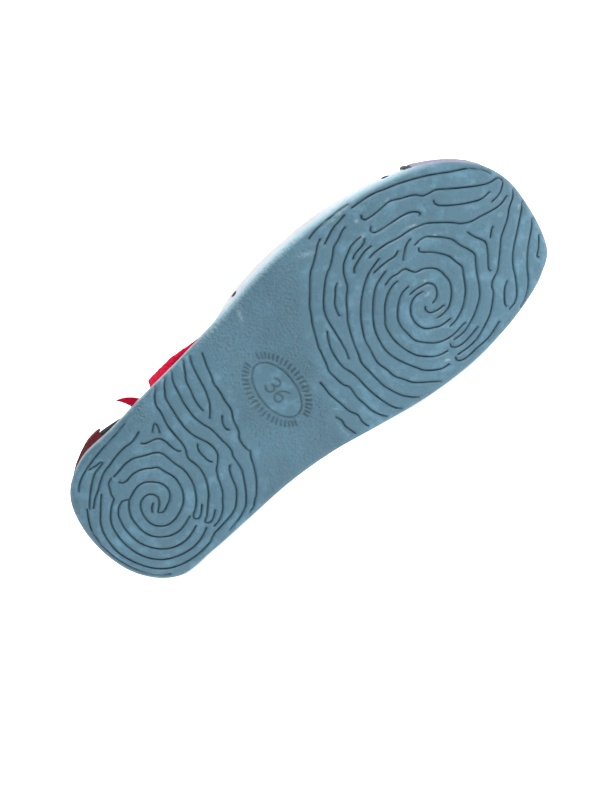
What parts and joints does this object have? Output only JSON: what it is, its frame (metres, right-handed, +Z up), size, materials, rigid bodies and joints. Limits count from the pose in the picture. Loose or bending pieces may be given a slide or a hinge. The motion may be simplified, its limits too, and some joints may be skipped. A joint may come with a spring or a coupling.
{
  "type": "house slipper",
  "caption": "Soft closed-back house slipper with a moulded rubber sole, lying on its inner side so that the tread shows.",
  "frame": {"origin": "centre of the bounding box, on the surface that the slipper lies on", "axes": "+X from heel to toe, the tread faces -Y and +Z is up, toward the outer side of the foot"},
  "size_m": [0.2484, 0.0774, 0.0933],
  "materials": {
    "outsole": "moulded blue-grey rubber, satin, with a fine grain",
    "insole": "red towelling",
    "upper": "white felt in front, black felt behind",
    "cuff": "crimson fleece",
    "heel_counter": "dark red felt",
    "toe_cap": "mauve felt",
    "toe_stripe": "black ribbon",
    "side_tab": "red felt"
  },
  "bodies": {
    "root": {"outsole": "outsole", "insole": "insole", "upper": "upper", "cuff": "cuff", "heel_counter": "heel_counter", "toe_cap": "toe_cap", "toe_stripe": "toe_stripe", "side_tab": "side_tab"}
  },
  "joints": []
}
